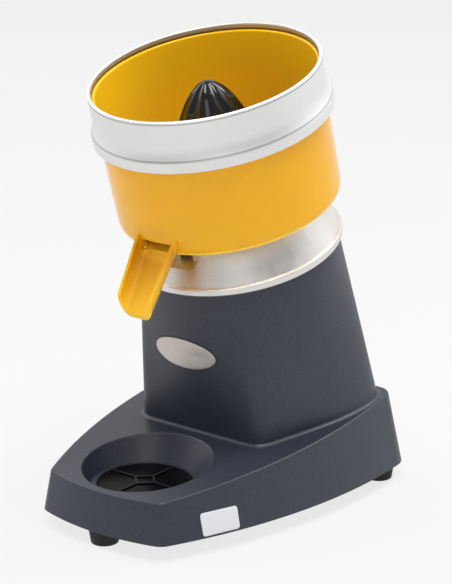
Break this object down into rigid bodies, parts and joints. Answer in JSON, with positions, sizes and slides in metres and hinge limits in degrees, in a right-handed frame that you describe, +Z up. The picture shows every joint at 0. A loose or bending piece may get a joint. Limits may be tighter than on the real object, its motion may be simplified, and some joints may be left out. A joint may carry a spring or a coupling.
{
  "type": "electric citrus juicer",
  "caption": "Electric citrus juicer: cast body with a drip well, leaning motor tower, polished flange, open-spout bowl with splash ring, strainer and ribbed reamer, on rubber feet.",
  "frame": {"origin": "centre of the footprint, on the surface the feet stand on", "axes": "+Z up, -Y to the front where the spout and drip well are, +X to the right seen from the front"},
  "size_m": [0.1988, 0.264, 0.3506],
  "materials": {
    "body_paint": "fine textured satin paint",
    "base_zinc": "plain sheet",
    "rubber": "matt",
    "steel": "bright",
    "tray_plastic": "satin",
    "polished_aluminium": "polished",
    "laminations": "varnished",
    "cage_aluminium": "as cast",
    "inner_plastic": "satin",
    "copper": "enamelled wire",
    "bowl_plastic": "gloss",
    "strainer_steel": "satin",
    "ring_aluminium": "satin anodised",
    "reamer_plastic": "gloss",
    "rocker_plastic": "gloss",
    "capacitor_plastic": "plain"
  },
  "bodies": {
    "housing": {"body_casting": "body_paint", "base_plate": "base_zinc", "feet": "rubber", "foot_screws": "steel", "motor_flange": "polished_aluminium", "flange_screws": "steel", "upper_bearing_outer": "steel", "lower_bearing_outer": "steel", "bearing_circlip": "steel", "shaft_seal": "rubber", "stator_core": "laminations", "stator_windings": "copper", "lower_bracket": "cage_aluminium", "motor_bolts": "steel", "switch_body": "inner_plastic", "cord_gland": "inner_plastic", "gland_nut": "inner_plastic", "capacitor": "capacitor_plastic", "capacitor_clip": "steel", "terminal_block": "capacitor_plastic"},
    "rotor": {"rotor_shaft": "steel", "rotor_core": "laminations", "rotor_cage": "cage_aluminium", "cooling_fan": "inner_plastic", "upper_bearing_inner": "steel", "lower_bearing_inner": "steel", "drive_pin": "steel", "slinger": "rubber"},
    "reamer": {"reamer": "reamer_plastic"},
    "bowl": {"bowl": "bowl_plastic"},
    "strainer": {"strainer": "strainer_steel"},
    "ring": {"splash_ring": "ring_aluminium"},
    "tray": {"drip_tray": "tray_plastic"},
    "rocker": {"switch_rocker": "rocker_plastic"}
  },
  "joints": [
    {"name": "drive_spin", "type": "hinge", "parent": "housing", "child": "rotor", "pos_m": [0, 0.087, 0], "axis": [0, -0.2588, 0.9659], "continuous": true},
    {"name": "bowl_lift", "type": "slide", "parent": "housing", "child": "bowl", "axis": [0, -0.2588, 0.9659], "range_m": [0, 0.05]},
    {"name": "strainer_lift", "type": "slide", "parent": "bowl", "child": "strainer", "axis": [0, -0.2588, 0.9659], "range_m": [0, 0.045]},
    {"name": "reamer_lift", "type": "slide", "parent": "rotor", "child": "reamer", "axis": [0, -0.2588, 0.9659], "range_m": [0, 0.12]},
    {"name": "ring_lift", "type": "slide", "parent": "bowl", "child": "ring", "axis": [0, -0.2588, 0.9659], "range_m": [0, 0.06]},
    {"name": "tray_lift", "type": "slide", "parent": "housing", "child": "tray", "axis": [0, 0, 1], "range_m": [0, 0.06]},
    {"name": "rocker_tip", "type": "hinge", "parent": "housing", "child": "rocker", "pos_m": [0.046, 0.12127, 0.04624], "axis": [1, 0, 0], "range_deg": [0, 16]}
  ],
  "couplings": [
    {"joint": "strainer_lift", "follows": "bowl_lift", "ratio": 0.9},
    {"joint": "reamer_lift", "follows": "bowl_lift", "ratio": 2.4}
  ]
}
